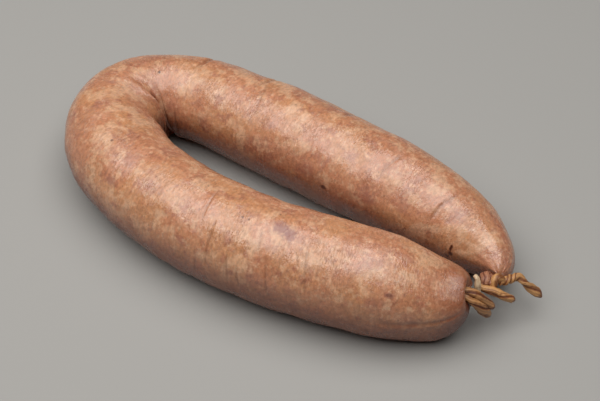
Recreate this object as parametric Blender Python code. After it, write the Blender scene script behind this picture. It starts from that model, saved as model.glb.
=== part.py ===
"""A loop of coarse fresh sausage: one filled casing bent into a horseshoe and lying on its side.

The ends are gathered into puckers and tied together by the twisted ends of the casing itself.
Metres, +Z up. +X runs from the bend to the tied ends, the near arm is at -Y, and z = 0 is the
surface that the sausage rests on.
"""

import bpy
import numpy as np
from math import pi, radians

# Driving sizes of the filled casing: lengths in metres, angles in degrees, bows in 1/metre.
DIAMETER = 0.040
LENGTH = 0.3878         # along the middle, pucker to pucker
SETTLE = 0.0013         # how far the soft underside flattens
START = (0.0846, -0.0009)
START_HEADING = 213.9   # the way the middle line leaves the near pucker
BEND_AT = 0.2093        # arc length of the tightest place
BEND_TURN = 147.8
BEND_NEAR, BEND_FAR = 0.0448, 0.0183
NEAR_BOW, FAR_BOW = 5.09, 0.50
NEAR_HOOK, FAR_HOOK, HOOK_LENGTH = 3.2, 70.0, 0.025
BLEND = 0.010
WAIST, WAIST_LENGTH = 0.112, 0.048
NEAR_TAPER, NEAR_TAPER_LENGTH = 0.315, 0.0225
FAR_TAPER, FAR_TAPER_LENGTH = 0.36, 0.0464
NEAR_CAP, NEAR_CAP_POWER = 0.0146, 2.27
FAR_CAP, FAR_CAP_POWER = 0.0266, 1.5
NEAR_RISE, FAR_RISE = 0.0080, 0.0045
NEAR_SHIFT = 0.0019     # how far the near pucker sits off the middle line, towards the loop's outside
NEAR_TILT = 0.21        # slope of the near end's face, lowest on its outer shoulder
SHOULDER = 134.0        # that shoulder's place round the casing
NEAR_HOLLOW, NEAR_HOLLOW_RADIUS, NEAR_HOLLOW_SHIFT = 0.0027, 0.0036, 0.0012
FAR_HOLLOW, FAR_HOLLOW_RADIUS = 0.0014, 0.0040

# The fold that crosses the inner side of the bend: where it runs as (angle round the casing, arc
# length), its depth, and its half-width towards the near arm and towards the far arm. The angle
# is 0 on the loop's inner side and 90 on top.
FOLD = ((-80, 0.2195), (-27, 0.2190), (12, 0.2068), (43, 0.1996), (80, 0.1950))
FOLD_DEPTH, FOLD_BEFORE, FOLD_BEYOND = 0.0028, 0.0026, 0.0030
SWELL, SWELL_LEAD, SWELL_LENGTH = 0.0010, 0.0068, 0.0055

# Wide rises and flats of the soft filled casing, as (arc length, half-length, angle, half-width in
# degrees, height): the near arm's bulge over the fold, the fuller near end, and the outer side of
# the bend and of the far arm, which hang a little flatter than round.
RISES = (
    (0.1950, 0.0110, 2, 44, 0.0028), (0.0260, 0.0170, 218, 34, 0.0009), (0.2150, 0.0170, 132, 40, -0.0019),
    (0.2530, 0.0090, 137, 42, -0.0007), (0.2985, 0.0270, 139, 42, -0.0015), (0.3690, 0.0140, 158, 50, -0.0013),
)

STATIONS = 96           # rings along the casing
AROUND = 34             # points in a ring
TAIL_SIDES = 10

CASING = (0.430, 0.205, 0.125)
DRY_CASING = (0.500, 0.270, 0.110)
PALE_CASING = (0.700, 0.560, 0.360)


def clear_scene():
    for item in list(bpy.data.objects):
        bpy.data.objects.remove(item, do_unlink=True)


def make_material(name, colour, roughness):
    material = bpy.data.materials.new(name)
    material.use_nodes = True
    shader = material.node_tree.nodes["Principled BSDF"]
    shader.inputs["Base Color"].default_value = (*colour, 1.0)
    shader.inputs["Roughness"].default_value = roughness
    return material


def add_object(name, points, faces, material, parent):
    """A named object from points and faces, shaded smooth, under the root empty."""
    mesh = bpy.data.meshes.new(name)
    mesh.from_pydata([tuple(p) for p in points], [], faces)
    mesh.validate()
    mesh.shade_smooth()
    mesh.materials.append(material)
    piece = bpy.data.objects.new(name, mesh)
    piece.parent = parent
    bpy.context.collection.objects.link(piece)
    return piece


def capped_tube_faces(rings, sides):
    """Quads between rings of points and a fan to one pole point at each end."""
    faces = []
    for i in range(rings - 1):
        for j in range(sides):
            k = (j + 1) % sides
            faces.append((i * sides + j, (i + 1) * sides + j, (i + 1) * sides + k, i * sides + k))
    first, last = rings * sides, rings * sides + 1
    for j in range(sides):
        k = (j + 1) % sides
        faces.append((first, j, k))
        faces.append((last, (rings - 1) * sides + k, (rings - 1) * sides + j))
    return faces


def bell(x):
    return np.exp(-x * x)


def middle_line(s):
    """Heading and place of the casing's middle line at arc lengths s, by adding up its curvature."""
    fine = np.linspace(0.0, LENGTH, 4001)
    step = fine[1] - fine[0]
    near_part = 1.0 / (1.0 + np.exp((fine - BEND_AT) / BLEND))
    bow = NEAR_BOW * near_part + FAR_BOW * (1.0 - near_part)
    width = np.where(fine < BEND_AT, BEND_NEAR, BEND_FAR)
    area = np.sqrt(pi) / 2.0
    peak = radians(BEND_TURN) / (area * (BEND_NEAR + BEND_FAR))
    bend = peak * bell((fine - BEND_AT) / width)
    hook = radians(NEAR_HOOK) * bell(fine / HOOK_LENGTH)
    hook = hook + radians(FAR_HOOK) * bell((LENGTH - fine) / HOOK_LENGTH)
    curvature = bow + bend + hook / (area * HOOK_LENGTH)
    middle = (curvature[1:] + curvature[:-1]) / 2.0
    heading = radians(START_HEADING) - np.concatenate([[0.0], np.cumsum(middle * step)])
    halfway = (heading[1:] + heading[:-1]) / 2.0
    x = START[0] + np.concatenate([[0.0], np.cumsum(np.cos(halfway) * step)])
    y = START[1] + np.concatenate([[0.0], np.cumsum(np.sin(halfway) * step)])
    return np.interp(s, fine, heading), np.interp(s, fine, x), np.interp(s, fine, y)


def body_radius(s):
    """Radius of the filled casing before its ends close: waist at the bend, taper at both ends."""
    r = DIAMETER / 2.0 * (1.0 - WAIST * bell((s - BEND_AT) / WAIST_LENGTH))
    r = r * (1.0 - NEAR_TAPER * bell(s / NEAR_TAPER_LENGTH))
    return r * (1.0 - FAR_TAPER * bell((LENGTH - s) / FAR_TAPER_LENGTH))


def cap(distance, length, power):
    """Rounded closing of an end: 0 at the pole, 1 from `length` on, as a superellipse."""
    t = 1.0 - np.clip(distance / length, 0.0, 1.0)
    return (1.0 - t ** power) ** (1.0 / power)


def groove(s, degrees, course, before, beyond):
    """1 on a line that runs round the casing, falling as a bell with distance along the casing, of
    half-width `before` towards the near end and `beyond` towards the far one, and fading out over
    the last third of its run at either end."""
    angles, places = np.array(course).T
    span = (degrees - angles[0]) / (angles[-1] - angles[0])
    fade = np.clip(span * 3.0, 0.0, 1.0) * np.clip((1.0 - span) * 3.0, 0.0, 1.0)
    fade = fade * fade * (3.0 - 2.0 * fade)
    offset = s - np.interp(degrees, angles, places)
    return fade * bell(offset / np.where(offset < 0.0, before, beyond))


def casing_relief(s, degrees):
    """Height of the casing's surface above the plain round tube."""
    height = np.zeros(np.broadcast(s, degrees).shape)
    for place, half_length, middle, wide, tall in RISES:
        height = height + tall * bell((s - place) / half_length) * bell((degrees - middle) / wide)
    lead = [(angle, place - SWELL_LEAD) for angle, place in FOLD]
    height = height + SWELL * groove(s, degrees, lead, SWELL_LENGTH, SWELL_LENGTH)
    return height - FOLD_DEPTH * groove(s, degrees, FOLD, FOLD_BEFORE, FOLD_BEYOND)


def build_casing(material, parent):
    # Stations crowd towards the poles and towards the bend, where the form changes fastest.
    u = np.linspace(0.0, 1.0, STATIONS)
    fine = np.linspace(0.0, LENGTH, 2001)
    density = 1.0 + 2.6 * bell((fine - BEND_AT + 0.003) / 0.018)
    density = density + 5.0 * bell(fine / 0.010) + 5.0 * bell((LENGTH - fine) / 0.012)
    reach = np.concatenate([[0.0], np.cumsum((density[1:] + density[:-1]) / 2.0)])
    s = np.interp(u[1:-1], reach / reach[-1], fine)
    heading, x, y = middle_line(s)
    full = body_radius(s)
    closing = cap(s, NEAR_CAP, NEAR_CAP_POWER) * cap(LENGTH - s, FAR_CAP, FAR_CAP_POWER)
    to_near = np.clip(1.0 - s / NEAR_CAP, 0.0, 1.0) ** 2
    to_far = np.clip(1.0 - (LENGTH - s) / FAR_CAP, 0.0, 1.0) ** 2
    z = full + NEAR_RISE * to_near + FAR_RISE * to_far - SETTLE

    # The angle starts at the underside and climbs over the loop's inner side to the top.
    angle = (np.linspace(0.0, 2.0 * pi, AROUND, endpoint=False) - pi / 2.0)[None, :]
    relief = casing_relief(s[:, None], np.degrees(angle))
    radius = (full[:, None] + relief) * closing[:, None]
    across = radius * np.cos(angle) - (NEAR_SHIFT * to_near)[:, None]
    lean = angle - radians(SHOULDER)
    lean_x, lean_y = radius * np.cos(lean), radius * np.sin(lean)
    hollow = bell(np.hypot(lean_x - NEAR_HOLLOW_SHIFT, lean_y) / NEAR_HOLLOW_RADIUS)
    near_draw = NEAR_HOLLOW * hollow + NEAR_TILT * lean_x * bell(radius / 0.0100)
    far_draw = FAR_HOLLOW * bell(radius / FAR_HOLLOW_RADIUS)
    draw = np.where(s[:, None] < LENGTH / 2.0, near_draw, -far_draw)

    along_x, along_y = np.cos(heading)[:, None], np.sin(heading)[:, None]
    ring_x = x[:, None] + across * along_y + draw * along_x
    ring_y = y[:, None] - across * along_x + draw * along_y
    ring_z = np.maximum(z[:, None] + radius * np.sin(angle), 0.0)
    rings = np.stack([ring_x, ring_y, ring_z], axis=-1)
    poles = np.stack([rings[0].mean(axis=0), rings[-1].mean(axis=0)])
    points = np.concatenate([rings.reshape(-1, 3), poles])
    return add_object("sausage", points, capped_tube_faces(len(s), AROUND), material, parent)


def smooth_path(corners, count):
    """Points evenly spaced on a Catmull-Rom curve through the corners."""
    corners = np.asarray(corners, dtype=float)
    padded = np.concatenate([[2 * corners[0] - corners[1]], corners, [2 * corners[-1] - corners[-2]]])
    spans = []
    for a, b, c, d in zip(padded, padded[1:], padded[2:], padded[3:]):
        t = np.linspace(0.0, 1.0, 24, endpoint=False)[:, None]
        spans.append(0.5 * (2 * b + (c - a) * t + (2 * a - 5 * b + 4 * c - d) * t ** 2
                            + (3 * b - a - 3 * c + d) * t ** 3))
    curve = np.concatenate(spans + [corners[-1:]])
    length = np.concatenate([[0.0], np.cumsum(np.linalg.norm(np.diff(curve, axis=0), axis=1))])
    even = np.linspace(0.0, length[-1], count)
    return np.stack([np.interp(even, length, curve[:, i]) for i in range(3)], axis=-1)


def twisted_tail(name, corners, widths, flatness, turns, material, parent, rings=18):
    """A twisted end of casing: a two-lobed section that turns as it runs along the path.

    `widths` are full widths at even steps from root to tip, `flatness` is the section's thickness
    over its width, and `turns` is how many times the section turns round from root to tip.
    """
    path = smooth_path(corners, rings)
    along = np.gradient(path, axis=0)
    along /= np.linalg.norm(along, axis=1)[:, None]
    side = np.cross(along, (0.0, 0.0, 1.0))
    side /= np.linalg.norm(side, axis=1)[:, None]
    up = np.cross(side, along)
    u = np.linspace(0.0, 1.0, rings)
    half = np.interp(u, np.linspace(0.0, 1.0, len(widths)), widths) / 2.0
    half = half * np.minimum(1.0, np.sqrt(np.clip((1.02 - u) * 8.0, 0.0, 1.0)))
    angle = np.linspace(0.0, 2.0 * pi, TAIL_SIDES, endpoint=False)[None, :]
    twist = (2.0 * pi * turns * u)[:, None]
    lobes = 1.0 + 0.12 * np.cos(3.0 * (angle - twist))
    wide = half[:, None] * lobes * np.cos(angle)
    thick = half[:, None] * lobes * np.sin(angle) * flatness
    across = wide * np.cos(twist) - thick * np.sin(twist)
    rise = wide * np.sin(twist) + thick * np.cos(twist)
    rings_xyz = path[:, None] + across[..., None] * side[:, None] + rise[..., None] * up[:, None]
    tip = path[-1] + along[-1] * half[-1] * 0.4
    root = path[0] - along[0] * half[0] * 0.2
    points = np.concatenate([rings_xyz.reshape(-1, 3), [root, tip]])
    return add_object(name, points, capped_tube_faces(rings, TAIL_SIDES), material, parent)


def join(piece, other):
    """Union `other` into `piece`; `other` stays in the file only as a guide."""
    other.hide_render = True
    other.display_type = "WIRE"
    union = piece.modifiers.new("union", "BOOLEAN")
    union.operation = "UNION"
    union.solver = "EXACT"
    union.object = other


def build_ties(parent):
    dry = make_material("dry_casing", DRY_CASING, 0.55)
    pale = make_material("pale_casing", PALE_CASING, 0.45)

    # The near end's own twisted stub, split into two prongs.
    near = twisted_tail("near_tail", [(0.0856, -0.0027, 0.0203), (0.0869, -0.0023, 0.0195),
                                      (0.0888, -0.0013, 0.0178), (0.0910, 0.0000, 0.0151),
                                      (0.0929, 0.0013, 0.0126)],
                        (0.0030, 0.0034, 0.0030, 0.0028, 0.0026), 0.8, 0.4, dry, parent)
    prong = twisted_tail("near_prong", [(0.0862, -0.0026, 0.0196), (0.0874, -0.0033, 0.0171),
                                        (0.0889, -0.0033, 0.0143), (0.0903, -0.0017, 0.0105),
                                        (0.0912, 0.0001, 0.0070)],
                         (0.0022, 0.0026, 0.0032, 0.0030, 0.0016), 0.8, 0.3, dry, parent, rings=14)
    join(near, prong)

    # A flat strip of casing that goes round the near neck and down to the knot.
    twisted_tail("tie_band", [(0.0832, 0.0033, 0.0226), (0.0843, 0.0028, 0.0216),
                              (0.0851, 0.0020, 0.0199), (0.0853, 0.0016, 0.0180)],
                 (0.0018, 0.0025, 0.0026, 0.0020), 0.45, 0.08, pale, parent, rings=12)

    # The knot on the far pucker.
    twisted_tail("knot", [(0.0883, 0.0073, 0.0172), (0.0882, 0.0087, 0.0180),
                          (0.0887, 0.0101, 0.0180), (0.0897, 0.0113, 0.0172)],
                 (0.0030, 0.0038, 0.0038, 0.0030), 0.8, 0.3, dry, parent, rings=12)

    # The two free ends of the tie.
    twisted_tail("middle_tail", [(0.0862, 0.0050, 0.0158), (0.0885, 0.0053, 0.0156),
                                 (0.0911, 0.0065, 0.0147), (0.0939, 0.0076, 0.0134),
                                 (0.0960, 0.0089, 0.0120), (0.0972, 0.0098, 0.0112)],
                 (0.0032, 0.0036, 0.0040, 0.0040, 0.0038, 0.0032), 0.75, 0.2, dry, parent)
    twisted_tail("far_tail", [(0.0916, 0.0119, 0.0155), (0.0930, 0.0141, 0.0162),
                              (0.0947, 0.0162, 0.0163), (0.0968, 0.0166, 0.0150),
                              (0.0997, 0.0177, 0.0120), (0.1021, 0.0190, 0.0095),
                              (0.1038, 0.0194, 0.0080)],
                 (0.0028, 0.0029, 0.0028, 0.0030, 0.0034, 0.0036, 0.0028), 0.75, 1.4, dry, parent, rings=26)


def main():
    clear_scene()
    root = bpy.data.objects.new("sausage_loop", None)
    bpy.context.collection.objects.link(root)
    build_casing(make_material("casing", CASING, 0.35), root)
    build_ties(root)


main()
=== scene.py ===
"""A loop of coarse fresh sausage in natural casing, bent into a horseshoe, with its ends tied together.

Metres, +Z up. +X runs from the bend to the tied ends, the near arm is at -Y, and the sausage rests
on z = 0.
"""

import bpy
import numpy as np
from mathutils import Matrix, Vector


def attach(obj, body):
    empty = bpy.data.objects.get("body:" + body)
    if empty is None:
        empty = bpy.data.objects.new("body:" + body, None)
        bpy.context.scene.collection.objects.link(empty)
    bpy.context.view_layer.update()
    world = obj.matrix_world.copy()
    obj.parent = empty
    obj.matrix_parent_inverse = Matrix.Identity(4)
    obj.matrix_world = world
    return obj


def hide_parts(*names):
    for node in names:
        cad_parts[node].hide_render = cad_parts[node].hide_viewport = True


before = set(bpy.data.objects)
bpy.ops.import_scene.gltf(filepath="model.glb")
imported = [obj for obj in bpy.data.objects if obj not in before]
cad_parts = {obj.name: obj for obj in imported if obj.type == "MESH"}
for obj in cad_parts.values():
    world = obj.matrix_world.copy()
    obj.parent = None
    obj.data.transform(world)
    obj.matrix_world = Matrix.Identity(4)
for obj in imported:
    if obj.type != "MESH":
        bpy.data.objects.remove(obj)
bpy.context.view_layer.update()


# ---------------------------------------------------------------------------------------------
# The sausage: coarsely minced raw pork filled into one length of hog casing. The full casing is
# bent double while soft, which folds its inner side, and both ends are gathered into a pucker.
# The form is a ring carried along a bent middle line, then raised and creased along its normals.

# Lengths are in metres, angles in degrees and bows in radians turned per metre. Arc lengths start
# at the near pucker. Angles round the casing are 0 on the loop's inner side, 90 on top and 180 on
# its outer side.
DIAMETER = 0.040
GIRTH = np.pi * DIAMETER
LENGTH = 0.3878         # along the middle, pucker to pucker
SETTLE = 0.0013         # how far the soft underside flattens
START = (0.0846, -0.0009)
START_HEADING = 213.9   # the way the middle line leaves the near pucker
BEND_AT = 0.2093        # arc length of the tightest place
BEND_TURN = 147.8
BEND_NEAR, BEND_FAR = 0.0448, 0.0183
NEAR_BOW, FAR_BOW = 5.09, 0.50
NEAR_HOOK, FAR_HOOK, HOOK_LENGTH = 3.2, 70.0, 0.025
BLEND = 0.010           # how gently the near arm's bow passes into the far arm's
WAIST, WAIST_LENGTH = 0.112, 0.048
NEAR_TAPER, NEAR_TAPER_LENGTH = 0.315, 0.0225
FAR_TAPER, FAR_TAPER_LENGTH = 0.36, 0.0464
NEAR_CAP, NEAR_CAP_POWER = 0.0146, 2.27
FAR_CAP, FAR_CAP_POWER = 0.0266, 1.5
NEAR_RISE, FAR_RISE = 0.0080, 0.0045
NEAR_SHIFT = 0.0019     # how far the near pucker sits off the middle line, towards the outside
NEAR_TILT = 0.21        # slope of the near end's face, which draws back at its outer shoulder
NEAR_FACE_RADIUS = 0.0100
SHOULDER = 134.0        # that shoulder's place round the casing
NEAR_HOLLOW, NEAR_HOLLOW_RADIUS, NEAR_HOLLOW_SHIFT = 0.0046, 0.0044, 0.0024
FAR_HOLLOW, FAR_HOLLOW_RADIUS = 0.0007, 0.0040

# The mesh: rings along it, points in each, and how much closer the rings stand at the bend and at
# each wrinkle, with the half-length of that crowding.
STATIONS, AROUND = 720, 136
BEND_CROWD, BEND_CROWD_LENGTH = 1.3, 0.020
WRINKLE_CROWD, WRINKLE_CROWD_LENGTH = 1.1, 0.0024

# Unevenness of the coarse meat, as (lumps in the girth, height, seed).
MEAT_LUMPS = ((10, 0.00034, 3), (26, 0.00020, 5), (60, 0.00007, 9))

# Folds that cross the inner side of the bend: where they run as (angle, arc length), depth, and
# half-width towards the near arm and towards the far arm. The first is the deep one, which the
# near arm bulges over, and beyond it the casing lies in a thin-creased roll.
FOLDS = (
    (((-80, 0.2195), (-27, 0.2190), (12, 0.2068), (43, 0.1996), (80, 0.1950)), 0.0036, 0.0017, 0.0026),
    (((-40, 0.2225), (-20, 0.2225), (7, 0.2190), (33, 0.2130), (58, 0.2075)), 0.0006, 0.0007, 0.0011),
    (((-30, 0.2265), (0, 0.2275), (24, 0.2262)), 0.0003, 0.0010, 0.0012),
    (((-24, 0.2160), (0, 0.2165), (26, 0.2130)), 0.0003, 0.0009, 0.0009),
)
# The near arm's lip above the deep fold: height, how far ahead of it, and half-length.
SWELL, SWELL_LEAD, SWELL_LENGTH = 0.0014, 0.0060, 0.0050

# Wide rises and flats of the soft filled casing, as (arc length, half-length, angle, half-width,
# height): the near arm's bulge over the fold and a lower one ahead of it, the fuller near end, and
# the outer side of the bend and of the far arm, which hang a little flatter than round.
RISES = (
    (0.1965, 0.0112, -8, 46, 0.0044), (0.1620, 0.0150, 28, 34, 0.0022),
    (0.0260, 0.0170, 218, 34, 0.0009), (0.2150, 0.0170, 132, 40, -0.0019),
    (0.2530, 0.0090, 137, 42, -0.0007), (0.2985, 0.0270, 139, 42, -0.0015),
    (0.3690, 0.0140, 158, 50, -0.0013),
)

# The seam of pressed casing on the near end's outer side, as (arc length, angle): it runs along
# the casing and fades in and out over the two lengths of SEAM_FADES, with a low bank below it.
SEAM = (
    (0.0030, 162.0), (0.0080, 163.0), (0.0118, 165.0), (0.0187, 171.0), (0.0260, 176.0), (0.0360, 176.5),
)
SEAM_DEPTH, SEAM_WIDTH, SEAM_FADES = 0.00040, 0.00075, (0.004, 0.008)
SEAM_BANK, SEAM_BANK_AT, SEAM_BANK_WIDTH = 0.4, 0.0018, 0.0014   # the first a share of the depth

# Pleats that run out from a pucker: the waves that add up to them, as (how many round it, size,
# times the phase), how far out they reach, and each end's phase and height.
PLEAT_WAVES = ((7, 1.0, 1), (11, 0.8, 2), (17, 0.6, 0))
PLEAT_REACH = 0.0070
NEAR_PLEATS, FAR_PLEATS = (0.4, 0.00018), (2.1, 0.00004)

# How dark the seam, the wrinkles and the mouth of each pucker go, from 0 to 1, with the mouths'
# radii: painted shade in the wrinkles, pleats and pucker mouths, and the seam's dark line. A
# pleat's is for each metre of its height.
SEAM_SHADE, WRINKLE_SHADE, PLEAT_SHADE = 0.75, 0.55, 700.0
NEAR_SHADE, NEAR_SHADE_RADIUS = 0.95, 0.0040
FAR_SHADE, FAR_SHADE_RADIUS = 0.80, 0.0030

# Wrinkles that run round both arms and shallow notches in the loop's outer side: where each runs
# as (angle, arc length), its depth and its half-width. The bank beside one is a share of its depth
# and of its width.
WRINKLE_BANK, WRINKLE_BANK_WIDTH = 0.35, 2.4
WRINKLES = (
    (((78, 0.1022), (92, 0.1013), (108, 0.1007), (130, 0.0993)), 0.00030, 0.00038),
    (((110, 0.0952), (130, 0.0945), (150, 0.0941), (178, 0.0935)), 0.00044, 0.00042),
    (((140, 0.0866), (158, 0.0856), (182, 0.0843)), 0.00030, 0.00036),
    (((104, 0.0776), (118, 0.0766), (134, 0.0756)), 0.00024, 0.00036),
    (((130, 0.0726), (150, 0.0715), (184, 0.0694)), 0.00038, 0.00042),
    (((98, 0.0602), (120, 0.0590), (140, 0.0580), (172, 0.0562)), 0.00028, 0.00045),
    (((156, 0.0984), (172, 0.0978), (192, 0.0979)), 0.00024, 0.00036),
    (((156, 0.0820), (170, 0.0811), (188, 0.0804)), 0.00020, 0.00036),
    (((80, 0.2292), (110, 0.2300), (160, 0.2308)), 0.00080, 0.00110),
    (((84, 0.2570), (112, 0.2590), (164, 0.2600)), 0.00080, 0.00100),
    (((94, 0.2960), (120, 0.2970), (166, 0.2980)), 0.00050, 0.00110),
    (((50, 0.2655), (80, 0.2630), (112, 0.2600)), 0.00020, 0.00060),
    (((40, 0.3240), (70, 0.3252), (104, 0.3285)), 0.00022, 0.00070),
    (((28, 0.3490), (60, 0.3508), (98, 0.3545)), 0.00026, 0.00080),
)


def bell(x):
    """1 at zero, falling smoothly on both sides: e to the power of minus x squared."""
    return np.exp(-x * x)


def middle_line(s):
    """Heading and place of the casing's middle line at arc lengths s, by adding up its curvature:
    a bow for each arm, a bell at the bend, wider on its near side, and half a bell at either end."""
    fine = np.linspace(0.0, LENGTH, 4001)
    step = fine[1] - fine[0]
    near_part = 1.0 / (1.0 + np.exp((fine - BEND_AT) / BLEND))
    bow = NEAR_BOW * near_part + FAR_BOW * (1.0 - near_part)
    width = np.where(fine < BEND_AT, BEND_NEAR, BEND_FAR)
    area = np.sqrt(np.pi) / 2.0
    peak = np.radians(BEND_TURN) / (area * (BEND_NEAR + BEND_FAR))
    bend = peak * bell((fine - BEND_AT) / width)
    hook = np.radians(NEAR_HOOK) * bell(fine / HOOK_LENGTH)
    hook = hook + np.radians(FAR_HOOK) * bell((LENGTH - fine) / HOOK_LENGTH)
    curvature = bow + bend + hook / (area * HOOK_LENGTH)
    middle = (curvature[1:] + curvature[:-1]) / 2.0
    heading = np.radians(START_HEADING) - np.concatenate([[0.0], np.cumsum(middle * step)])
    halfway = (heading[1:] + heading[:-1]) / 2.0
    x = START[0] + np.concatenate([[0.0], np.cumsum(np.cos(halfway) * step)])
    y = START[1] + np.concatenate([[0.0], np.cumsum(np.sin(halfway) * step)])
    return np.interp(s, fine, heading), np.interp(s, fine, x), np.interp(s, fine, y)


def body_radius(s):
    """Radius of the filled casing before its ends close: waist at the bend, taper at both ends."""
    r = DIAMETER / 2.0 * (1.0 - WAIST * bell((s - BEND_AT) / WAIST_LENGTH))
    r = r * (1.0 - NEAR_TAPER * bell(s / NEAR_TAPER_LENGTH))
    return r * (1.0 - FAR_TAPER * bell((LENGTH - s) / FAR_TAPER_LENGTH))


def cap(distance, length, power):
    """Rounded closing of an end: 0 at the pole, 1 from `length` on, as a superellipse."""
    t = 1.0 - np.clip(distance / length, 0.0, 1.0)
    return (1.0 - t ** power) ** (1.0 / power)


def closing(s):
    """How far the casing is open at arc lengths s: the near end's cap times the far end's."""
    return cap(s, NEAR_CAP, NEAR_CAP_POWER) * cap(LENGTH - s, FAR_CAP, FAR_CAP_POWER)


def lumps(across, along, period, seed):
    """Smooth unevenness from -1 to 1: random heights on a square lattice of unit cells, joined by
    a cubic B-spline in both directions. The lattice repeats after `period` cells of `across`."""
    heights = np.random.default_rng(seed).uniform(-1.0, 1.0, (int(along.max()) + 8, period))
    total = np.zeros(np.broadcast(across, along).shape)
    a0, b0 = np.floor(across).astype(int), np.floor(along).astype(int)
    ta, tb = across - a0, along - b0
    for i, wa in enumerate(spline_weights(ta)):
        for j, wb in enumerate(spline_weights(tb)):
            total = total + wa * wb * heights[b0 + j + 1, (a0 + i) % period]
    return total * 1.9


def spline_weights(t):
    """The four weights of a uniform cubic B-spline at fraction t between two knots."""
    return ((1 - t) ** 3 / 6, (3 * t ** 3 - 6 * t ** 2 + 4) / 6,
            (-3 * t ** 3 + 3 * t ** 2 + 3 * t + 1) / 6, t ** 3 / 6)


def groove(s, degrees, course, before, beyond):
    """How much a point lies in a groove that runs round the casing: 1 on its line, falling as a
    bell with distance along the casing, of half-width `before` towards the near end and `beyond`
    towards the far one, and fading out over the last third of its run at either end."""
    angles, places = np.array(course).T
    span = (degrees - angles[0]) / (angles[-1] - angles[0])
    fade = np.clip(span * 3.0, 0.0, 1.0) * np.clip((1.0 - span) * 3.0, 0.0, 1.0)
    fade = fade * fade * (3.0 - 2.0 * fade)
    offset = s - np.interp(degrees, angles, places)
    return fade * bell(offset / np.where(offset < 0.0, before, beyond))


def closed_tube(name, rings, poles, along, around, material):
    """A closed mesh from rings of points, an n by m by 3 grid, and a pole point beyond each end.
    Its UV map is in metres: `along` for each ring, and `around` for each side and the seam."""
    n, m = rings.shape[:2]
    points = np.concatenate([rings.reshape(-1, 3), poles])
    i, j = np.meshgrid(np.arange(n - 1), np.arange(m), indexing="ij")
    k = (j + 1) % m
    quads = np.stack([i * m + j, (i + 1) * m + j, (i + 1) * m + k, i * m + k], axis=-1)
    side = np.arange(m)
    after = (side + 1) % m
    last = (n - 1) * m
    near_fan = np.stack([np.full(m, n * m), side, after], axis=-1)
    far_fan = np.stack([np.full(m, n * m + 1), last + after, last + side], axis=-1)
    faces = quads.reshape(-1, 4).tolist() + near_fan.tolist() + far_fan.tolist()
    mesh = bpy.data.meshes.new(name)
    mesh.from_pydata(points.tolist(), [], faces)
    quad_u = np.stack([along[i], along[i + 1], along[i + 1], along[i]], axis=-1)
    quad_v = np.stack([around[j], around[j], around[j + 1], around[j + 1]], axis=-1)
    v, w = around[side], around[side + 1]
    middle = (v + w) / 2.0
    near_uv = np.stack([np.full((m, 3), along[0]), np.stack([middle, v, w], axis=-1)], axis=-1)
    far_uv = np.stack([np.full((m, 3), along[-1]), np.stack([middle, w, v], axis=-1)], axis=-1)
    loops = [np.stack([quad_u, quad_v], axis=-1).reshape(-1), near_uv.reshape(-1), far_uv.reshape(-1)]
    mesh.uv_layers.new(name="casing").data.foreach_set("uv", np.concatenate(loops).astype(np.float32))
    mesh.shade_smooth()
    mesh.materials.append(material)
    piece = bpy.data.objects.new(name, mesh)
    bpy.context.collection.objects.link(piece)
    return piece


def set_depth(piece, values):
    """Keeps, at each point, how far down in a fold or a wrinkle it lies, for painted shade in the colour.
    """
    attribute = piece.data.attributes.new("depth", "FLOAT", "POINT")
    attribute.data.foreach_set("value", np.asarray(values, dtype=np.float32).reshape(-1))


def grid_normals(rings):
    """Unit normals of a grid of rings: the cross product of its two directions."""
    over = np.roll(rings, -1, axis=1) - np.roll(rings, 1, axis=1)
    forth = np.gradient(rings, axis=0)
    normal = np.cross(forth, over)
    return normal / np.maximum(np.linalg.norm(normal, axis=-1, keepdims=True), 1e-12)


def casing_stations():
    """Arc lengths of the rings: even along the profile's own outline, closer at the bend and at the
    wrinkles."""
    q = np.linspace(0.0, 1.0, 9001)
    fine = LENGTH * (q - np.sin(2.0 * np.pi * q) / (2.0 * np.pi))
    radius = body_radius(fine) * closing(fine)
    density = 1.0 + BEND_CROWD * bell((fine - BEND_AT) / BEND_CROWD_LENGTH)
    for course, *_ in WRINKLES:
        density = density + WRINKLE_CROWD * bell((fine - course[0][1]) / WRINKLE_CROWD_LENGTH)
    step = np.hypot(np.diff(fine), np.diff(radius)) * (density[1:] + density[:-1]) / 2.0
    reach = np.concatenate([[0.0], np.cumsum(step)])
    u = np.linspace(0.0, 1.0, STATIONS + 2)[1:-1]
    return np.interp(u * reach[-1], reach, fine)


def near_face(radius, angle):
    """A point's place on the near end's face: how far it lies towards the outer shoulder, and how
    far from the centre of the pucker's hollow."""
    lean = angle - np.radians(SHOULDER)
    lean_x, lean_y = radius * np.cos(lean), radius * np.sin(lean)
    return lean_x, np.hypot(lean_x - NEAR_HOLLOW_SHIFT, lean_y)


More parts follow.
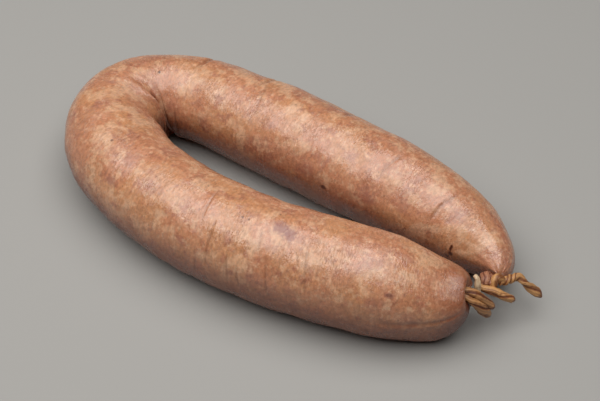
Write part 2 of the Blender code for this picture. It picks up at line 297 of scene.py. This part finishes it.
def casing_rings(s, angle):
    """The smooth casing: a ring round each place of the middle line, of the full radius times the
    closing. The ends rise and shift a little, and their faces tilt and hollow along the line."""
    heading, x, y = middle_line(s)
    full = body_radius(s)
    to_near = np.clip(1.0 - s / NEAR_CAP, 0.0, 1.0) ** 2
    to_far = np.clip(1.0 - (LENGTH - s) / FAR_CAP, 0.0, 1.0) ** 2
    z = (full + NEAR_RISE * to_near + FAR_RISE * to_far - SETTLE)[:, None]
    radius = (full * closing(s))[:, None]
    across = radius * np.cos(angle) - (NEAR_SHIFT * to_near)[:, None]
    lean_x, from_hollow = near_face(radius, angle)
    near_draw = NEAR_HOLLOW * bell(from_hollow / NEAR_HOLLOW_RADIUS)
    near_draw = near_draw + NEAR_TILT * lean_x * bell(radius / NEAR_FACE_RADIUS)
    far_draw = FAR_HOLLOW * bell(radius / FAR_HOLLOW_RADIUS)
    draw = np.where(s[:, None] < LENGTH / 2.0, near_draw, -far_draw)
    along_x, along_y = np.cos(heading)[:, None], np.sin(heading)[:, None]
    ring_x = x[:, None] + across * along_y + draw * along_x
    ring_y = y[:, None] - across * along_x + draw * along_y
    ring_z = z + radius * np.sin(angle)
    return np.stack([ring_x, ring_y, ring_z], axis=-1)


def casing_relief(s, angle):
    """Height above the smooth casing, and how deep in a fold each point lies. The height adds up
    the lumps of coarse meat, the wide rises, the lip over the deep fold and the puckers' pleats,
    less the folds, the seam and the wrinkles, which have a low bank on either side."""
    degrees = np.degrees(angle)
    round_place = angle * DIAMETER / 2.0 + GIRTH
    height = np.zeros(np.broadcast(s, angle).shape)
    depth = np.zeros_like(height)
    for cells, size, seed in MEAT_LUMPS:
        cell = GIRTH / cells
        height = height + size * lumps(round_place / cell, s / cell, cells, seed)
    for place_s, long, middle, wide, tall in RISES:
        height = height + tall * bell((s - place_s) / long) * bell((degrees - middle) / wide)
    for course, deep, before, beyond in FOLDS:
        line = groove(s, degrees, course, before, beyond)
        height = height - deep * line
        depth = np.maximum(depth, groove(s, degrees, course, before * 0.5, beyond * 0.25))
    lead = [(turn, length - SWELL_LEAD) for turn, length in FOLDS[0][0]]
    height = height + SWELL * groove(s, degrees, lead, SWELL_LENGTH, SWELL_LENGTH)
    for course, deep, width in WRINKLES:
        line = groove(s, degrees, course, width, width)
        bank = groove(s, degrees, course, width * WRINKLE_BANK_WIDTH, width * WRINKLE_BANK_WIDTH)
        height = height - deep * line + WRINKLE_BANK * deep * (bank - line)
        depth = np.maximum(depth, WRINKLE_SHADE * line)
    seam_s, seam_angle = np.array(SEAM).T
    beside = (degrees - np.interp(s, seam_s, seam_angle)) * DIAMETER / 2.0 * np.pi / 180.0
    run = np.clip((s - seam_s[0]) / SEAM_FADES[0], 0.0, 1.0)
    run = run * np.clip((seam_s[-1] - s) / SEAM_FADES[1], 0.0, 1.0)
    line = run * bell(beside / SEAM_WIDTH)
    bank = run * bell((beside - SEAM_BANK_AT) / SEAM_BANK_WIDTH)
    height = height - SEAM_DEPTH * line + SEAM_BANK * SEAM_DEPTH * bank
    depth = np.maximum(depth, SEAM_SHADE * line)
    radius = body_radius(s) * closing(s)
    near_half = s < LENGTH / 2.0
    for half, (phase, size) in ((near_half, NEAR_PLEATS), (~near_half, FAR_PLEATS)):
        pleat = np.zeros(angle.shape)
        for count, share, times in PLEAT_WAVES:
            pleat = pleat + share * np.cos(count * angle + times * phase)
        reach = bell(radius / PLEAT_REACH) * half
        height = height + size * pleat * reach
        depth = np.maximum(depth, np.clip(-pleat, 0.0, 2.0) * PLEAT_SHADE * size * reach)
    from_hollow = near_face(radius, angle)[1]
    depth = np.maximum(depth, NEAR_SHADE * bell(from_hollow / NEAR_SHADE_RADIUS) * near_half)
    depth = np.maximum(depth, FAR_SHADE * bell(radius / FAR_SHADE_RADIUS) * ~near_half)
    return height, depth


def build_casing(material):
    """The casing's mesh: each point of the smooth rings moved along its normal by the relief, and
    nothing lower than the table. The UV map is arc length by place in the girth."""
    s = casing_stations()
    angle = (np.linspace(0.0, 2.0 * np.pi, AROUND, endpoint=False) - np.pi / 2.0)[None, :]
    rings = casing_rings(s, angle)
    height, depth = casing_relief(s[:, None], angle)
    rings = rings + grid_normals(rings) * height[..., None]
    rings[..., 2] = np.maximum(rings[..., 2], 0.0)
    poles = np.stack([rings[0].mean(axis=0), rings[-1].mean(axis=0)])
    around = np.linspace(0.0, GIRTH, AROUND + 1)
    piece = closed_tube("filled_casing", rings, poles, s, around, material)
    set_depth(piece, np.concatenate([depth.reshape(-1), [1.0, 1.0]]))
    return piece


def place(tree, kind, inputs=None, **settings):
    """A node of that kind in the tree, with its settings, and its inputs as values or links."""
    made = tree.nodes.new(kind)
    for name, value in settings.items():
        setattr(made, name, value)
    for name, value in (inputs or {}).items():
        if isinstance(value, bpy.types.NodeSocket):
            tree.links.new(value, made.inputs[name])
        else:
            made.inputs[name].default_value = value
    return made


def blend_colour(tree, factor, first, second, kind="MIX"):
    """The first colour at factor 0 and the second, or their product, at factor 1."""
    colours = {0: factor, 6: first, 7: second}
    return place(tree, "ShaderNodeMix", colours, data_type="RGBA", blend_type=kind).outputs[2]


def sum_up(tree, kind, first, second=0.0, third=0.0):
    """One step of arithmetic on two values, or on three for a product with an addition."""
    return place(tree, "ShaderNodeMath", {0: first, 1: second, 2: third}, operation=kind).outputs[0]


def rise(tree, value, low, high, bottom=0.0, top=1.0):
    """A smooth step from `bottom` to `top` while value goes from `low` to `high`."""
    names = {"Value": value, "From Min": low, "From Max": high, "To Min": bottom, "To Max": top}
    return place(tree, "ShaderNodeMapRange", names, interpolation_type="SMOOTHSTEP").outputs["Result"]


def noise(tree, place_in, size, detail=2.0, roughness=0.5, distortion=0.0):
    """Soft noise whose patches are about `size` metres wide."""
    names = {"Vector": place_in, "Scale": 1.0 / size, "Detail": detail, "Roughness": roughness,
             "Distortion": distortion}
    return place(tree, "ShaderNodeTexNoise", names).outputs[0]


def new_group(name, inputs, outputs):
    """An empty node group with named sockets, and its ends inside. An input is (name, kind,
    starting value) and an output (name, kind)."""
    group = bpy.data.node_groups.new(name, "ShaderNodeTree")
    for title, kind, value in inputs:
        socket = group.interface.new_socket(title, in_out="INPUT", socket_type=kind)
        if value is not None:
            socket.default_value = value
    for title, kind in outputs:
        group.interface.new_socket(title, in_out="OUTPUT", socket_type=kind)
    return group, group.nodes.new("NodeGroupInput").outputs, group.nodes.new("NodeGroupOutput").inputs


COLOUR, VALUE, VECTOR = "NodeSocketColor", "NodeSocketFloat", "NodeSocketVector"


def meat_group():
    """Coarse minced meat through casing: tan and rose tones in wide patches, mauve lean, cream fat
    in blotches of two sizes, and a fine streaky mottle that follows the casing's girth. Each tone
    is blended in where soft noise of its own size rises past a level."""
    group, given, result = new_group(
        "coarse_meat",
        [("Place", VECTOR, None), ("Casing place", VECTOR, None), ("Tan", COLOUR, None),
         ("Rose", COLOUR, None), ("Lean", COLOUR, None), ("Fat", COLOUR, None)],
        [("Color", COLOUR)])
    wide = noise(group, given["Place"], 0.020, detail=3.0)
    colour = blend_colour(group, rise(group, wide, 0.42, 0.58), given["Rose"], given["Tan"])
    lean = noise(group, given["Place"], 0.0080, detail=4.0, roughness=0.55, distortion=0.2)
    colour = blend_colour(group, rise(group, lean, 0.52, 0.66, top=0.70), colour, given["Lean"])
    red = noise(group, given["Place"], 0.0034, detail=3.0, distortion=0.2)
    colour = blend_colour(group, rise(group, red, 0.57, 0.70, top=0.66), colour, given["Lean"])
    fat = noise(group, given["Place"], 0.0052, detail=5.0, roughness=0.58, distortion=0.25)
    fat_wide = sum_up(group, "MULTIPLY", noise(group, given["Place"], 0.0150), 0.6)
    blotches = rise(group, sum_up(group, "ADD", fat_wide, fat), 0.80, 0.95)
    colour = blend_colour(group, sum_up(group, "MULTIPLY", blotches, 0.68), colour, given["Fat"])
    crumb = noise(group, given["Place"], 0.0022, detail=4.0, roughness=0.6, distortion=0.2)
    colour = blend_colour(group, rise(group, crumb, 0.54, 0.65, top=0.56), colour, given["Fat"])
    stretched = {"Vector": given["Casing place"], "Scale": (1.8, 1.0, 1.0)}
    streak_place = place(group, "ShaderNodeMapping", stretched).outputs[0]
    streak = noise(group, streak_place, 0.0020, detail=5.0, roughness=0.70, distortion=0.2)
    fine = rise(group, streak, 0.28, 0.72, bottom=0.76, top=1.22)
    shade = place(group, "ShaderNodeCombineColor", {0: fine, 1: fine, 2: fine}).outputs[0]
    colour = blend_colour(group, 1.0, colour, shade, "MULTIPLY")
    group.links.new(colour, result["Color"])
    return group


def wrinkle_group():
    """Fine wrinkles of thin skin. Thin lines run where long narrow noise, laid across the casing's
    length, crosses its middle value. They are strong in patches, over a soft round unevenness."""
    group, given, result = new_group(
        "skin_wrinkles",
        [("Place", VECTOR, None), ("Casing place", VECTOR, None), ("Size", VALUE, 0.0040)],
        [("Height", VALUE), ("Lines", VALUE)])
    narrow = {"Vector": given["Casing place"], "Scale": (4.5, 1.0, 1.0), "Rotation": (0.0, 0.0, 0.10)}
    narrow_place = place(group, "ShaderNodeMapping", narrow).outputs[0]
    scale = sum_up(group, "DIVIDE", 1.0, given["Size"])
    names = {"Vector": narrow_place, "Scale": scale, "Detail": 2.0, "Roughness": 0.5, "Distortion": 0.5}
    field = place(group, "ShaderNodeTexNoise", names).outputs[0]
    off_line = sum_up(group, "ABSOLUTE", sum_up(group, "SUBTRACT", field, 0.5))
    lines = rise(group, off_line, 0.0, 0.045, bottom=1.0, top=0.0)
    patches = rise(group, noise(group, given["Place"], 0.013), 0.46, 0.62, bottom=0.05)
    lines = sum_up(group, "MULTIPLY", lines, patches)
    grain = noise(group, given["Place"], 0.0016, detail=4.0, roughness=0.6)
    round_part = sum_up(group, "MULTIPLY_ADD", field, 0.8, grain)
    height = sum_up(group, "SUBTRACT", round_part, sum_up(group, "MULTIPLY", lines, 0.5))
    group.links.new(height, result["Height"])
    group.links.new(lines, result["Lines"])
    return group


def mark_group():
    """One small mark on the casing: 1 within an uneven oval round its centre, 0 outside. The
    centre is in metres along the casing and round it, and "Per size" is 1 over each half-size."""
    group, given, result = new_group(
        "casing_mark",
        [("Casing place", VECTOR, None), ("Centre", VECTOR, None), ("Per size", VECTOR, None)],
        [("Mask", VALUE)])
    ends = {0: given["Casing place"], 1: given["Centre"]}
    offset = place(group, "ShaderNodeVectorMath", ends, operation="SUBTRACT").outputs[0]
    shares = {0: offset, 1: given["Per size"]}
    scaled = place(group, "ShaderNodeVectorMath", shares, operation="MULTIPLY").outputs[0]
    reach = place(group, "ShaderNodeVectorMath", {0: scaled}, operation="LENGTH").outputs["Value"]
    uneven = noise(group, given["Casing place"], 0.0014, detail=3.0)
    reach = sum_up(group, "MULTIPLY_ADD", uneven, 1.2, reach)
    group.links.new(rise(group, reach, 1.0, 1.7, bottom=1.0, top=0.0), result["Mask"])
    return group


meat_of = meat_group()
wrinkles_of = wrinkle_group()
mark_of = mark_group()

# The casing's colours: the meat's four tones, the painted shade of thin wrinkles and of folds, the
# brown of pores, the two kinds of mark, and the two tints of painted shade that the colour is
# multiplied by.
TAN, ROSE = (0.568, 0.262, 0.128, 1.0), (0.530, 0.227, 0.122, 1.0)
LEAN, FAT = (0.410, 0.162, 0.100, 1.0), (0.720, 0.422, 0.256, 1.0)
WRINKLE_LINE_SHADE, FOLD_SHADE = (0.30, 0.12, 0.07, 1.0), (0.16, 0.055, 0.030, 1.0)
PORE_BROWN = (0.12, 0.035, 0.015, 1.0)
DARK_JUICE, ROSY = (0.095, 0.022, 0.008, 1.0), (0.27, 0.090, 0.075, 1.0)
# Painted shade: the first tint darkens the lower half of the casing and the second its near end.
UNDERSIDE_SHADE_TINT, NEAR_END_SHADE_TINT = (0.42, 0.25, 0.19, 1.0), (0.58, 0.46, 0.41, 1.0)
UNDERSIDE_SHADE_FROM, UNDERSIDE_SHADE_TO = 0.020, 0.036     # round the girth from the top line
NEAR_END_SHADE_FROM, NEAR_END_SHADE_TO = 0.002, 0.018   # along the casing from the near pucker
PORES_PER_METRE = 150.0

# Marks in the skin, as (arc length, angle, half-length, half-width, strength): dark specks of
# peppery lean and spots of dried juice, then the faint mauve and reddish patches.
DARK_MARKS = (
    (0.2120, 70.0, 0.0009, 0.0010, 0.95), (0.3036, 8.5, 0.0018, 0.0012, 0.95),
    (0.3346, -8.5, 0.0014, 0.0011, 0.90), (0.3630, 18.0, 0.0009, 0.0032, 1.00),
    (0.3636, 8.0, 0.0018, 0.0018, 1.00), (0.3617, -0.5, 0.0019, 0.0011, 0.95),
    (0.3410, 8.0, 0.0007, 0.0007, 0.60), (0.0864, 103.0, 0.0008, 0.0006, 0.70),
    (0.0838, 103.0, 0.0006, 0.0006, 0.70), (0.1515, 105.0, 0.0008, 0.0007, 0.70),
    (0.0291, 141.0, 0.0014, 0.0009, 0.50),
)
ROSY_MARKS = (
    (0.0713, 100.0, 0.0038, 0.0032, 0.80), (0.0674, 103.0, 0.0030, 0.0036, 0.75),
    (0.0291, 141.0, 0.0022, 0.0016, 0.50), (0.1400, 139.0, 0.0030, 0.0024, 0.55),
    (0.2950, 20.0, 0.0040, 0.0044, 0.35), (0.3230, 22.0, 0.0050, 0.0030, 0.40),
)


def new_material(name):
    """A new material, its node tree and the shader in it."""
    material = bpy.data.materials.new(name)
    material.use_nodes = True
    return material, material.node_tree, material.node_tree.nodes["Principled BSDF"]


def surface_places(tree):
    """The two places a pattern reads: the point in the piece's own metres, and the UV map's."""
    own_place = place(tree, "ShaderNodeTexCoord").outputs["Object"]
    return own_place, place(tree, "ShaderNodeUVMap", uv_map="casing").outputs["UV"]


def add_marks(tree, colour, casing_place, marks, tint):
    """Blends the tint into the colour at each mark. The girth starts at the underside, a quarter
    turn before the inner side that the marks' angles start at."""
    for along, degrees, half_length, half_width, strength in marks:
        inputs = {"Casing place": casing_place,
                  "Centre": (along, np.radians(degrees + 90.0) * DIAMETER / 2.0, 0.0),
                  "Per size": (1.0 / half_length, 1.0 / half_width, 0.0)}
        mark = place(tree, "ShaderNodeGroup", inputs, node_tree=mark_of).outputs[0]
        colour = blend_colour(tree, sum_up(tree, "MULTIPLY", mark, strength), colour, tint)
    return colour


def casing_material():
    """Meat seen through moist thin skin: the meat's tones, with painted shade in the wrinkles, on
    the lower half and on the near end, with pores, marks and painted shade in the folds over them.
    The gloss is uneven, and the skin's wrinkles are a shallow bump."""
    material, tree, shader = new_material("moist_casing")
    own_place, casing_place = surface_places(tree)
    meat_inputs = {"Place": own_place, "Casing place": casing_place,
                   "Tan": TAN, "Rose": ROSE, "Lean": LEAN, "Fat": FAT}
    meat = place(tree, "ShaderNodeGroup", meat_inputs, node_tree=meat_of).outputs["Color"]
    skin_inputs = {"Place": own_place, "Casing place": casing_place}
    skin = place(tree, "ShaderNodeGroup", skin_inputs, node_tree=wrinkles_of)
    lined = sum_up(tree, "MULTIPLY", skin.outputs["Lines"], 0.30)
    # Painted shade in the fine wrinkle lines.
    colour = blend_colour(tree, lined, meat, WRINKLE_LINE_SHADE)
    along, girth, _ = place(tree, "ShaderNodeSeparateXYZ", {0: casing_place}).outputs
    from_top = sum_up(tree, "ABSOLUTE", sum_up(tree, "SUBTRACT", girth, GIRTH / 2.0))
    # Painted shade on the lower half, round the girth from the top line.
    colour = blend_colour(tree, rise(tree, from_top, UNDERSIDE_SHADE_FROM, UNDERSIDE_SHADE_TO), colour, UNDERSIDE_SHADE_TINT, "MULTIPLY")
    # Painted shade on the near end, fading out along the casing from the near pucker.
    near = rise(tree, along, NEAR_END_SHADE_FROM, NEAR_END_SHADE_TO, bottom=1.0, top=0.0)
    colour = blend_colour(tree, near, colour, NEAR_END_SHADE_TINT, "MULTIPLY")
    cells = place(tree, "ShaderNodeTexVoronoi", {"Vector": own_place, "Scale": PORES_PER_METRE})
    pores = rise(tree, cells.outputs["Distance"], 0.03, 0.09, bottom=0.45, top=0.0)
    colour = blend_colour(tree, pores, colour, PORE_BROWN)
    colour = add_marks(tree, colour, casing_place, ROSY_MARKS, ROSY)
    colour = add_marks(tree, colour, casing_place, DARK_MARKS, DARK_JUICE)
    deep = place(tree, "ShaderNodeAttribute", attribute_name="depth").outputs["Fac"]
    # Painted shade in the folds, wrinkles, pleats and pucker mouths, and the seam's dark line.
    colour = blend_colour(tree, sum_up(tree, "MULTIPLY", deep, 0.75), colour, FOLD_SHADE)
    tree.links.new(colour, shader.inputs["Base Color"])
    gloss = noise(tree, own_place, 0.005, detail=4.0, roughness=0.6)
    tree.links.new(rise(tree, gloss, 0.38, 0.62, bottom=0.20, top=0.42), shader.inputs["Roughness"])
    shader.inputs["Specular IOR Level"].default_value = 1.0
    shader.inputs["Subsurface Weight"].default_value = 0.04
    shader.inputs["Subsurface Radius"].default_value = (1.0, 0.35, 0.2)
    shader.inputs["Subsurface Scale"].default_value = 0.002
    relief = {"Height": skin.outputs["Height"], "Strength": 0.5, "Distance": 0.00032}
    tree.links.new(place(tree, "ShaderNodeBump", relief).outputs[0], shader.inputs["Normal"])
    return material


casing = build_casing(casing_material())
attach(casing, "root")
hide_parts("sausage")


# ---------------------------------------------------------------------------------------------
# The near end's tail: the empty end of the casing, twisted tight, half dried and split into two
# strands that start in the near pucker. Each is a folded section of thin casing that turns as it
# is carried along its path.

TAIL_RINGS, TAIL_SIDES = 170, 120
CRINKLE = 0.0006        # length of the smallest crinkles along a tail


def smooth_path(corners, count):
    """Points evenly spaced on a Catmull-Rom curve through the corners, and the curve's length."""
    corners = np.asarray(corners, dtype=float)
    padded = np.concatenate([[2 * corners[0] - corners[1]], corners, [2 * corners[-1] - corners[-2]]])
    spans = []
    for a, b, c, d in zip(padded, padded[1:], padded[2:], padded[3:]):
        t = np.linspace(0.0, 1.0, 48, endpoint=False)[:, None]
        spans.append(0.5 * (2 * b + (c - a) * t + (2 * a - 5 * b + 4 * c - d) * t ** 2
                            + (3 * b - a - 3 * c + d) * t ** 3))
    curve = np.concatenate(spans + [corners[-1:]])
    length = np.concatenate([[0.0], np.cumsum(np.linalg.norm(np.diff(curve, axis=0), axis=1))])
    even = np.linspace(0.0, length[-1], count)
    return np.stack([np.interp(even, length, curve[:, i]) for i in range(3)], axis=-1), length[-1]


def twisted_tail(name, corners, material, widths, flatness, turns, folds, seed):
    """A twisted end of casing. Its section is an ellipse whose outline is cut by `folds` sharp
    creases, a low power of a sine's size, with small and fine ones between and crinkles over all.
    `widths` and `turns` are its width and how far the section has turned, at even steps from root
    to tip. The tip closes as a square root, and `flatness` is thickness over width."""
    path, length = smooth_path(corners, TAIL_RINGS)
    along = np.gradient(path, axis=0)
    along /= np.linalg.norm(along, axis=1)[:, None]
    side = np.cross(along, (0.0, 0.0, 1.0))
    side /= np.linalg.norm(side, axis=1)[:, None]
    up = np.cross(side, along)
    u = np.linspace(0.0, 1.0, TAIL_RINGS)[:, None]
    half = np.interp(u, np.linspace(0.0, 1.0, len(widths)), widths) / 2.0
    half = half * np.sqrt(np.clip((1.0 - u) * 9.0 + 0.10, 0.0, 1.0))
    angle = np.linspace(0.0, 2.0 * np.pi, TAIL_SIDES, endpoint=False)[None, :]
    twist = 2.0 * np.pi * np.interp(u, np.linspace(0.0, 1.0, len(turns)), turns)
    drift = 0.5 * lumps(np.zeros_like(angle) + 0.5, u * 6.0, 4, seed)
    open_fold = np.abs(np.sin(folds / 2.0 * (angle + drift))) ** 0.45
    small_fold = np.abs(np.sin(folds * 1.5 * angle + 3.0 * drift + seed)) ** 0.6
    crinkle = lumps(angle * 12 / (2.0 * np.pi), u * length / CRINKLE, 12, seed + 1)
    fine_fold = np.abs(np.sin(folds * 4.0 * angle + 5.0 * drift)) ** 0.6
    form = 0.70 + 0.24 * open_fold + 0.07 * small_fold + 0.05 * fine_fold + 0.04 * crinkle
    wide = half * form * np.cos(angle)
    thick = half * form * np.sin(angle) * flatness
    across = wide * np.cos(twist) - thick * np.sin(twist)
    lift = wide * np.sin(twist) + thick * np.cos(twist)
    grid = path[:, None] + across[..., None] * side[:, None] + lift[..., None] * up[:, None]
    poles = np.stack([path[0] - along[0] * half[0] * 0.2, path[-1] + along[-1] * half[-1] * 0.5])
    around = np.linspace(0.0, np.pi * max(widths), TAIL_SIDES + 1)
    piece = closed_tube(name, grid, poles, u[:, 0] * length, around, material)
    # How far in a fold each point lies, for painted shade in the folds, and darker towards the tip.
    depth = 1.2 * (1.0 - open_fold) + 0.45 * (1.0 - small_fold) + 0.35 * (1.0 - fine_fold) - 0.1 * crinkle
    depth = depth + 0.6 * np.clip((u - 0.86) / 0.14, 0.0, 1.0)
    set_depth(piece, np.concatenate([depth.reshape(-1), [0.6, 0.8]]))
    return piece


def dry_material(name, ridge, hollow, roughness):
    """Half dried casing: one colour on the ridges and a darker one in the folds as painted shade,
    uneven along it. It has the moist skin's wrinkles at half their size."""
    material, tree, shader = new_material(name)
    own_place, casing_place = surface_places(tree)
    deep = place(tree, "ShaderNodeAttribute", attribute_name="depth").outputs["Fac"]
    uneven = noise(tree, own_place, 0.0016, detail=3.0)
    shaded = sum_up(tree, "MULTIPLY_ADD", uneven, 0.6, sum_up(tree, "SUBTRACT", deep, 0.30))
    # The hollow colour is painted shade in the folds.
    colour = blend_colour(tree, rise(tree, shaded, 0.05, 0.95), ridge, hollow)
    tree.links.new(colour, shader.inputs["Base Color"])
    shader.inputs["Roughness"].default_value = roughness
    skin_inputs = {"Place": own_place, "Casing place": casing_place, "Size": 0.0020}
    skin = place(tree, "ShaderNodeGroup", skin_inputs, node_tree=wrinkles_of)
    relief = {"Height": skin.outputs["Height"], "Strength": 0.5, "Distance": 0.0003}
    tree.links.new(place(tree, "ShaderNodeBump", relief).outputs[0], shader.inputs["Normal"])
    return material


def tie_piece(node, piece):
    """Takes the place of that solid of the tie, on the same body as the casing."""
    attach(piece, "root")
    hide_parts(node)


def joined(name, pieces):
    """One object from several meshes that are parts of the same piece."""
    with bpy.context.temp_override(active_object=pieces[0], selected_editable_objects=pieces):
        bpy.ops.object.join()
    pieces[0].name = name
    return pieces[0]


UPPER_STRAND = [
    (0.0812, -0.0055, 0.0220), (0.0832, -0.0047, 0.0220), (0.0850, -0.0038, 0.0214),
    (0.0869, -0.0030, 0.0204), (0.0891, -0.0020, 0.0182), (0.0912, -0.0004, 0.0153),
    (0.0930, 0.0012, 0.0126),
]
UPPER_WIDTHS = (0.0026, 0.0034, 0.0038, 0.0038, 0.0034, 0.0034, 0.0030)
LOWER_STRAND = [
    (0.0826, -0.0066, 0.0210), (0.0845, -0.0061, 0.0205), (0.0864, -0.0057, 0.0194),
    (0.0883, -0.0046, 0.0174), (0.0899, -0.0030, 0.0144), (0.0911, -0.0009, 0.0105),
    (0.0920, 0.0008, 0.0070),
]
LOWER_WIDTHS = (0.0026, 0.0034, 0.0042, 0.0046, 0.0046, 0.0036, 0.0014)

dark = dry_material("near_dry_casing", (0.52, 0.255, 0.100, 1.0), (0.13, 0.030, 0.009, 1.0), 0.42)
upper_strand = twisted_tail("upper_strand", UPPER_STRAND, dark, UPPER_WIDTHS,
                            flatness=0.8, turns=(0.0, 0.4), folds=3, seed=1)
lower_strand = twisted_tail("lower_strand", LOWER_STRAND, dark, LOWER_WIDTHS,
                            flatness=0.8, turns=(0.0, 0.3), folds=3, seed=4)
tie_piece("near_tail", joined("near_twist", [upper_strand, lower_strand]))


# ---------------------------------------------------------------------------------------------
# The tie's band: a pale, flat strip of the same casing, thin enough to have stayed clear. It goes
# round the near neck from above and down between the arms, and dries hard in that shape.

BAND = [(0.0827, 0.0030, 0.0225), (0.0841, 0.0027, 0.0215), (0.0850, 0.0018, 0.0195),
        (0.0855, 0.0012, 0.0170), (0.0855, 0.0004, 0.0150)]
BAND_WIDTHS = (0.0018, 0.0026, 0.0030, 0.0026, 0.0020)

pale = dry_material("pale_casing_strip", (0.76, 0.56, 0.36, 1.0), (0.45, 0.24, 0.12, 1.0), 0.38)
band = twisted_tail("casing_band", BAND, pale, BAND_WIDTHS,
                    flatness=0.45, turns=(0.0, 0.08), folds=2, seed=7)
tie_piece("tie_band", band)


# ---------------------------------------------------------------------------------------------
# The far neck: the casing gathered into tight pleats between the far pucker and the knot. It is
# still moist, so it keeps the meat's rosy brown, and the knot holds it shut. It has no solid of
# its own, because it runs from the filled casing into the knot.

NECK = [(0.0846, 0.0104, 0.0150), (0.0850, 0.0092, 0.0168), (0.0859, 0.0075, 0.0172),
        (0.0868, 0.0060, 0.0160)]
NECK_WIDTHS = (0.0058, 0.0054, 0.0048, 0.0040)

gathered = dry_material("gathered_casing", (0.42, 0.185, 0.100, 1.0), (0.17, 0.052, 0.028, 1.0), 0.40)
far_neck = twisted_tail("far_neck", NECK, gathered, NECK_WIDTHS,
                        flatness=0.8, turns=(0.0, 0.05), folds=6, seed=23)
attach(far_neck, "root")


# ---------------------------------------------------------------------------------------------
# The knot and its two free ends: the casing's own twisted ends, drawn tight round the necks and
# left to dry to a golden tan. The middle end is short and thick, and the far one long and thin,
# with a corner in it and a darker tip.

KNOT = [(0.0888, 0.0072, 0.0158), (0.0885, 0.0084, 0.0176), (0.0889, 0.0099, 0.0184),
        (0.0900, 0.0109, 0.0176), (0.0908, 0.0112, 0.0158)]
KNOT_WIDTHS = (0.0030, 0.0036, 0.0038, 0.0036, 0.0030)
MIDDLE_END = [
    (0.0846, 0.0050, 0.0158), (0.0858, 0.0047, 0.0160), (0.0885, 0.0052, 0.0158),
    (0.0911, 0.0064, 0.0148), (0.0939, 0.0074, 0.0135), (0.0960, 0.0089, 0.0120),
    (0.0972, 0.0098, 0.0112),
]
MIDDLE_WIDTHS = (0.0034, 0.0038, 0.0044, 0.0044, 0.0042, 0.0040, 0.0034)
FAR_END = [
    (0.0896, 0.0100, 0.0165), (0.0916, 0.0121, 0.0167), (0.0930, 0.0142, 0.0168),
    (0.0947, 0.0162, 0.0166), (0.0968, 0.0166, 0.0150), (0.0997, 0.0177, 0.0120),
    (0.1021, 0.0190, 0.0095), (0.1038, 0.0194, 0.0080),
]
FAR_WIDTHS = (0.0034, 0.0037, 0.0036, 0.0032, 0.0033, 0.0038, 0.0040, 0.0032)

dry = dry_material("half_dry_casing", (0.58, 0.300, 0.115, 1.0), (0.18, 0.050, 0.014, 1.0), 0.42)
knot = twisted_tail("casing_knot", KNOT, dry, KNOT_WIDTHS,
                    flatness=0.8, turns=(0.0, 0.3), folds=2, seed=11)
middle_end = twisted_tail("middle_twist", MIDDLE_END, dry, MIDDLE_WIDTHS,
                          flatness=0.75, turns=(0.0, 0.2), folds=2, seed=13)
far_end = twisted_tail("far_twist", FAR_END, dry, FAR_WIDTHS,
                       flatness=0.80, turns=(0.0, 1.3, 1.8, 2.0), folds=3, seed=17)
tie_piece("knot", knot)
tie_piece("middle_tail", middle_end)
tie_piece("far_tail", far_end)


# ---------------------------------------------------------------------------------------------
# The studio: a pale matt table, one large softbox overhead, a little grey from all round, and
# the camera looking down at the near arm.

TABLE_COLOUR, TABLE_REACH = (0.36, 0.352, 0.338, 1.0), 3.0
AZIMUTH, ELEVATION = np.radians(33.99), np.radians(46.07)   # of the camera, round from -Y and up
CAMERA_AT = Vector((0.21993, -0.31546, 0.41587))
LENS, SENSOR = 84.7, 36.0
SOFTBOX_LONG, SOFTBOX_WIDE, SOFTBOX_HEIGHT = 1.70, 1.20, 0.95
SOFTBOX_LEFT, SOFTBOX_NEARER = 0.28, 0.08
SOFTBOX_POWER, SOFTBOX_COLOUR = 17.8, (1.0, 0.985, 0.96)
SURROUND_COLOUR, SURROUND_STRENGTH = (0.9, 0.95, 1.0, 1.0), 0.02

floor_corners = [(-TABLE_REACH, -TABLE_REACH, 0), (TABLE_REACH, -TABLE_REACH, 0),
                 (TABLE_REACH, TABLE_REACH, 0), (-TABLE_REACH, TABLE_REACH, 0)]
floor_mesh = bpy.data.meshes.new("floor")
floor_mesh.from_pydata(floor_corners, [], [(0, 1, 2, 3)])
floor = bpy.data.objects.new("floor", floor_mesh)
bpy.context.collection.objects.link(floor)
floor_material, floor_tree, floor_shader = new_material("pale_floor")
floor_shader.inputs["Base Color"].default_value = TABLE_COLOUR
floor_shader.inputs["Roughness"].default_value = 0.9
floor_mesh.materials.append(floor_material)

up = Vector((0.0, 0.0, 1.0))
right = Vector((np.cos(AZIMUTH), np.sin(AZIMUTH), 0.0))
flat_back = Vector((np.sin(AZIMUTH), -np.cos(AZIMUTH), 0.0))


def aim(thing, at, back):
    """Puts the thing at a point, looking along -back, with its right side level."""
    turn = Matrix((right, back.cross(right), back)).transposed()
    thing.matrix_world = Matrix.Translation(at) @ turn.to_4x4()


camera_data = bpy.data.cameras.new("camera")
camera_data.lens = LENS
camera_data.sensor_width = SENSOR
camera_data.clip_start = 0.01
camera = bpy.data.objects.new("camera", camera_data)
bpy.context.collection.objects.link(camera)
aim(camera, CAMERA_AT, flat_back * np.cos(ELEVATION) + up * np.sin(ELEVATION))
bpy.context.scene.camera = camera

light_data = bpy.data.lights.new("softbox", "AREA")
light_data.shape = "RECTANGLE"
light_data.size = SOFTBOX_LONG
light_data.size_y = SOFTBOX_WIDE
light_data.energy = SOFTBOX_POWER
light_data.color = SOFTBOX_COLOUR
softbox = bpy.data.objects.new("softbox", light_data)
bpy.context.collection.objects.link(softbox)
aim(softbox, SOFTBOX_HEIGHT * up - SOFTBOX_LEFT * right + SOFTBOX_NEARER * flat_back, up)

world = bpy.data.worlds.new("studio")
world.use_nodes = True
background = world.node_tree.nodes["Background"]
background.inputs["Color"].default_value = SURROUND_COLOUR
background.inputs["Strength"].default_value = SURROUND_STRENGTH
bpy.context.scene.world = world
bpy.context.scene.view_settings.view_transform = "Standard"
